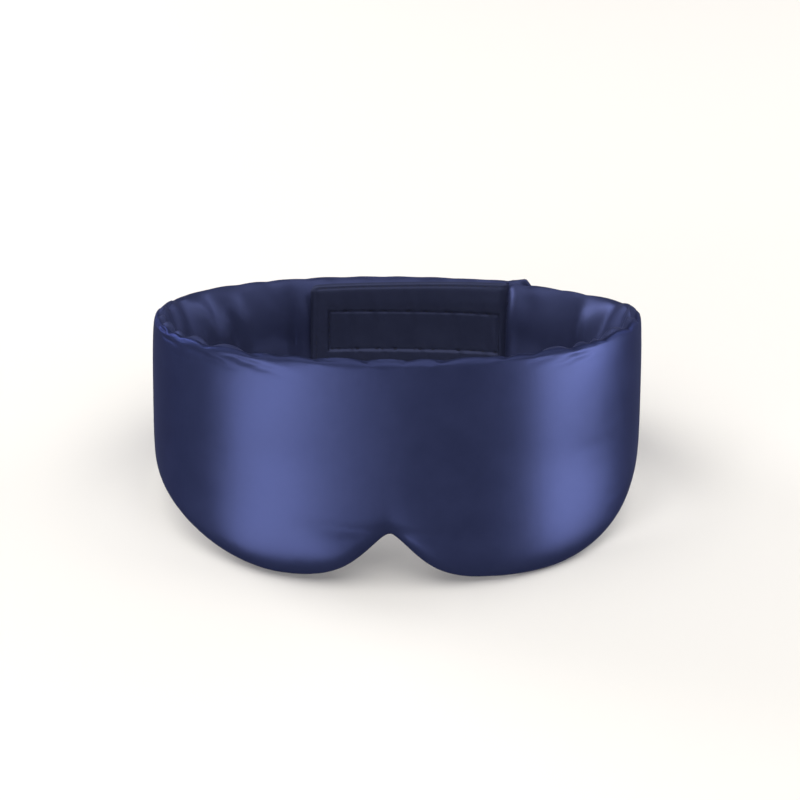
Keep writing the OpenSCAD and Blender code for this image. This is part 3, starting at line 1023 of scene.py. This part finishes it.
def many_tubes(name, shapes, sides, material):
    """One piece made of many short closed tubes, each from a (path, radii) pair."""
    points, walls, caps = [], [], []
    total = 0
    around = np.arange(sides)
    step = np.roll(around, -1)
    for path, radii in shapes:
        p, wall = tube(path, radii, sides)
        n = len(p)
        head = np.stack([around, np.full(sides, n), step], -1)
        tail = np.stack([around + n - sides, step + n - sides, np.full(sides, n + 1)], -1)
        points += [p, np.stack([p[:sides].mean(0), p[-sides:].mean(0)])]
        walls.append(wall + total)
        caps += [head + total, tail + total]
        total += n + 2
    points = np.concatenate(points)
    faces = np.concatenate(walls).tolist() + np.concatenate(caps).tolist()
    return new_piece(name, points, faces, material, layout=points)


def tape_places(length, pitch, seed):
    """Jittered places over a tape, clear of its stitching: angles and heights."""
    draw = np.random.default_rng(seed)
    first, last = tape_span(length - 2 * TAPE_MARGIN)
    half = TAPE_WIDTH / 2 - TAPE_MARGIN
    a = np.arange(first, last, pitch * DEGREES_PER_MM)
    z = np.arange(TAPE_CENTRE - half, TAPE_CENTRE + half, pitch)
    a, z = np.meshgrid(a, z, indexing="ij")
    a = a + draw.uniform(-JITTER, JITTER, a.shape) * pitch * DEGREES_PER_MM
    z = z + draw.uniform(-JITTER, JITTER, z.shape) * pitch
    return a.ravel(), z.ravel(), draw


def hook_shapes():
    """Small hooks that stand on the tab's tape, towards the left band."""
    a, z, draw = tape_places(HOOK_LENGTH, BRISTLE_PITCH, 51)
    base = HOOK_DEPTH[1] - GROUND
    rise = np.array([0, 0.3, 0.5, 0.6, 0.55, 0.4])
    lean_out = np.array([0, 0.02, 0.1, 0.28, 0.46, 0.52])
    radii = np.array([0.11, 0.1, 0.1, 0.1, 0.09, 0.05])
    for angle, height in zip(a, z):
        turn = draw.choice([-1, 1]) + draw.uniform(-0.3, 0.3)
        along_hook = angle + turn * lean_out * DEGREES_PER_MM
        yield loop_points(along_hook, flat_offset(along_hook, base - rise), height + 0 * rise), radii


def loop_shapes():
    """Fine arches of yarn that stand on the left band's tape."""
    a, z, draw = tape_places(LOOP_LENGTH, LOOP_PITCH, 52)
    base = LOOP_DEPTH[0] + GROUND
    t = np.linspace(0, math.pi, 7)
    radii = np.full(7, 0.07)
    for angle, height in zip(a, z):
        turn = draw.uniform(0, math.pi)
        size = draw.uniform(0.45, 0.75)
        step = size * np.cos(t)
        across = angle + step * math.cos(turn) * DEGREES_PER_MM
        rise = size * np.sin(t)
        upright = height + step * math.sin(turn)
        yield loop_points(across, flat_offset(across, base + rise), upright), radii


hook_ground = slab(
    "hook_tape_ground", *tape_span(HOOK_LENGTH), tape_top, TAPE_WIDTH,
    (HOOK_DEPTH[1] - GROUND, HOOK_DEPTH[1]), TAPE_GROUND,
)
settle(hook_ground, "closure_tab", "hook_tape", "hook_patch")
loop_ground = slab(
    "loop_tape_ground", *tape_span(LOOP_LENGTH), tape_top, TAPE_WIDTH,
    (LOOP_DEPTH[0], LOOP_DEPTH[0] + GROUND), TAPE_GROUND,
)
settle(loop_ground, "left_band", "loop_tape", "loop_patch", bends=False)
hook_field = many_tubes("hook_tape_hooks", hook_shapes(), 5, HOOKS)
settle(hook_field, "closure_tab", "hook_tape", "hook_patch")
loop_field = many_tubes("loop_tape_loops", loop_shapes(), 4, LOOPS)
settle(loop_field, "left_band", "loop_tape", "loop_patch", bends=False)

# ------------ stitches
THREAD_RADIUS = 0.2
STITCH_SHARE = 0.72  # a stitch's length as a share of the pitch
STITCH_POINTS = 7
STITCH_LIFT = 0.22  # its middle stands this far proud of the cloth
STITCH_DIVE = 0.5  # and its ends lie this much lower than that
BOX_LEVEL = 0.98  # the tab's box stitches lie this far below its flat face,
HEM_LEVEL = 0.33  # and its hem stitches this far
END_INSET = 2  # the stitches that close the bands' ends lie this far from them,
END_CLEAR = 8  # and this far from the seams


def stitch_path(a, depth_of, z, upright):
    """One stitch over a surface: its ends dive into the cloth."""
    t = np.linspace(-1, 1, STITCH_POINTS)
    half = STITCH_PITCH * STITCH_SHARE / 2
    at = a + (0 if upright else t * half * DEGREES_PER_MM)
    height = z + (t * half if upright else 0)
    at, height = np.broadcast_arrays(at, height)
    lift = STITCH_LIFT - STITCH_DIVE * np.abs(t) ** 4
    return loop_points(at, -(depth_of(at) + lift), height)


def stitch_line(first, last, z_first, z_last, depth_of):
    count = int(abs(last - first) / DEGREES_PER_MM / STITCH_PITCH)
    for i in range(count):
        t = (i + 0.5) / count
        a = first + (last - first) * t
        yield stitch_path(a, depth_of, z_first + (z_last - z_first) * t, False)


def stitch_column(a, top, bottom, depth_of):
    count = int((top - bottom) / STITCH_PITCH)
    for i in range(count):
        yield stitch_path(a, depth_of, top - (top - bottom) * (i + 0.5) / count, True)


def stitched(name, paths, body, node):
    radii = capped_radii(STITCH_POINTS, THREAD_RADIUS)
    piece = many_tubes(name, ((path, radii) for path in paths), 8, THREAD)
    settle(piece, body, "thread", node, bends=False)


def box_paths(length, depth):
    first, last = box_angles(length)

    def depth_of(a):
        return lining_crown(a) + depth

    for z in (BOX_TOP, BOX_BOTTOM):
        yield from stitch_line(first, last, z, z, depth_of)
    for a in (first, last):
        yield from stitch_column(a, BOX_TOP - 1.5, BOX_BOTTOM + 1.5, depth_of)


def hem_paths():
    def depth_of(a):
        return lining_crown(a) + TAB_DEPTH[1] - HEM_LEVEL

    root = TAB_ROOT + 2 * DEGREES_PER_MM
    tip = TAB_TIP - HEM * DEGREES_PER_MM
    for drop in (SIDE_HEM, TAB_HEIGHT - SIDE_HEM):
        yield from stitch_line(root, tip, tab_top(root) - drop, tab_top(tip) - drop, depth_of)
    yield from stitch_column(
        tip, tab_top(tip) - SIDE_HEM - 2, tab_top(tip) - TAB_HEIGHT + SIDE_HEM + 2, depth_of
    )


def end_paths(end, side):
    """Stitches that close a band's end, over the surface of the settled lining."""
    a = end + side * END_INSET * DEGREES_PER_MM
    column = int(np.argmin(np.abs(angles - a)))
    heights = lining[column, :, 2]
    depths = depth_in(angles[[column]], lining[[column]])[0]
    top, bottom = float(upper_seam(a)) - END_CLEAR, float(lower_seam(a)) + END_CLEAR
    count = int((top - bottom) / STITCH_PITCH)
    for i in range(count):
        z = top - (top - bottom) * (i + 0.5) / count
        depth = float(np.interp(-z, -heights, depths))
        yield stitch_path(angles[column], lambda at, d=depth: d + 0 * at, z, True)


stitched("hook_tape_box_stitches", box_paths(HOOK_LENGTH, TAB_DEPTH[1] - BOX_LEVEL), "closure_tab",
         "hook_patch_stitching")
stitched("loop_tape_box_stitches", box_paths(LOOP_LENGTH, LOOP_DEPTH[0] + GROUND), "left_band",
         "loop_patch_stitching")
stitched("tab_hem_stitches", hem_paths(), "closure_tab", "tab_edge_stitching")
stitched("left_band_closing_stitches", end_paths(LEFT_END, 1), "left_band",
         "left_band_end_stitching")
stitched("tab_joining_stitches", end_paths(RIGHT_END, -1), "right_band", "tab_joining_stitching")

# ------------ floor, lights and camera
VIEW_TURN = 1.5
VIEW_RISE = 13.5
VIEW_DISTANCE = 1200
VIEW_TARGET = (1.5, 0, -39)
LENS = 121.75
FLOOR_HALF = 4.0  # in metres


def add_camera():
    flat = math.cos(math.radians(VIEW_RISE))
    turn = math.radians(VIEW_TURN)
    direction = np.array([
        math.sin(turn) * flat, -math.cos(turn) * flat, math.sin(math.radians(VIEW_RISE))
    ])
    target = np.array(VIEW_TARGET)
    place = to_cad(target + VIEW_DISTANCE * direction)
    aim = Vector(to_cad(target)) - Vector(place)
    data = bpy.data.cameras.new("camera")
    data.lens = LENS
    data.sensor_width = 36
    data.clip_end = 50
    camera = placed("camera", data)
    camera.location = place
    camera.rotation_euler = aim.to_track_quat("-Z", "Y").to_euler()
    bpy.context.scene.camera = camera


def softbox(name, azimuth, height, distance, size, roll, power):
    """An area light at an azimuth from the front (positive to the right), facing the mask."""
    data = bpy.data.lights.new(name, "AREA")
    data.shape = "RECTANGLE"
    data.size, data.size_y = size
    data.energy = power
    data.color = (1, 0.985, 0.96)
    light = placed(name, data)
    turn = math.radians(azimuth)
    light.location = (distance * math.sin(turn), -distance * math.cos(turn), height)
    aim = Vector((0, 0, 0.05)) - light.location
    facing = aim.to_track_quat("-Z", "Y")
    light.rotation_euler = (facing @ Quaternion((0, 0, 1), math.radians(roll))).to_euler()


def add_floor():
    """A pale floor. It is left out of the satin's gloss, as nothing lit lay under the mask."""
    h = FLOOR_HALF
    mesh = bpy.data.meshes.new("floor")
    corners = [(-h, -h, 0), (h, -h, 0), (h, h, 0), (-h, h, 0)]
    mesh.from_pydata(corners, [], [(0, 1, 2, 3)])
    plane = placed("floor", mesh)
    material, _, shader = principled("pale_floor")
    setting(shader, Base_Color=(0.90, 0.885, 0.865, 1), Roughness=0.95, Specular_IOR_Level=0.0)
    mesh.materials.append(material)
    plane.visible_glossy = False


def add_world():
    world = bpy.data.worlds.new("studio")
    bpy.context.scene.world = world
    world.use_nodes = True
    setting(world.node_tree.nodes["Background"], Color=(1.0, 0.985, 0.96, 1), Strength=0.3)


add_camera()
add_floor()
add_world()
softbox("left_softbox", -47, 0.05, 1.1, (0.82, 0.42), 30, 11.8)
softbox("fill_softbox", -16, 0.04, 1.1, (0.42, 0.40), 0, 1.6)
softbox("right_softbox", 80, 0.03, 1.1, (1.0, 0.34), 0, 15.8)
softbox("rear_left_softbox", -125, 0.5, 1.5, (0.7, 0.5), 0, 13)
softbox("rear_right_softbox", 125, 0.5, 1.5, (0.7, 0.5), 0, 5)
softbox("overhead_softbox", 0, 1.7, 0.25, (2.4, 2.4), 0, 26.5)
bpy.context.scene.view_settings.view_transform = "Standard"
